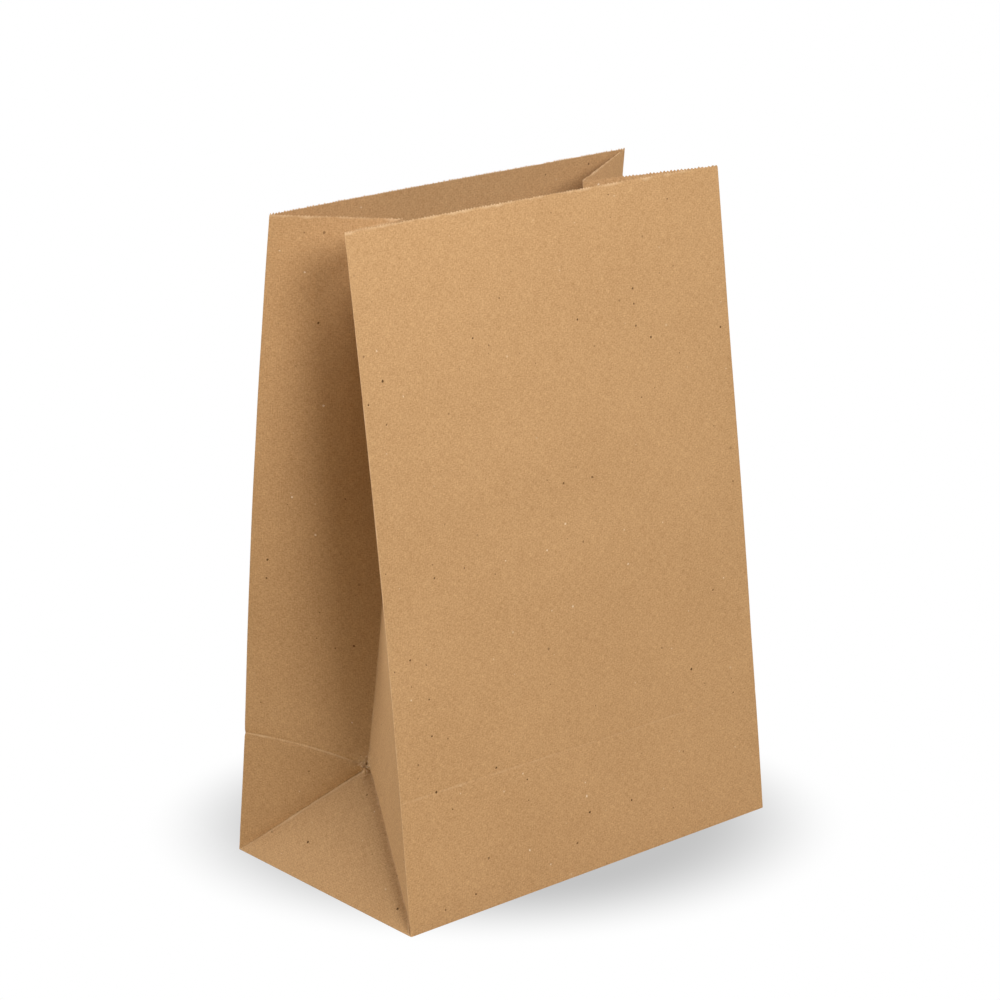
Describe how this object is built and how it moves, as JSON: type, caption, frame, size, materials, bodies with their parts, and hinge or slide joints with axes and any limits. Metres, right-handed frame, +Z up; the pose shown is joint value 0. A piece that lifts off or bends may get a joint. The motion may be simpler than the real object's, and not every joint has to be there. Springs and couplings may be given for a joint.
{
  "type": "paper bag",
  "caption": "Open block-bottom paper bag with folded-in side gussets, flat glued base and a saw-toothed mouth, standing empty to carry food.",
  "frame": {"origin": "middle of the flat base, on the surface that the bag stands on", "axes": "+Z up to the mouth, +X across the width, -Y out of the front panel"},
  "size_m": [0.2006, 0.1173, 0.2825],
  "materials": {
    "kraft_paper": "uncoated brown kraft paper, matte, with fine fibres and pale creases"
  },
  "bodies": {
    "root": {"paper_bag": "kraft_paper"}
  },
  "joints": []
}
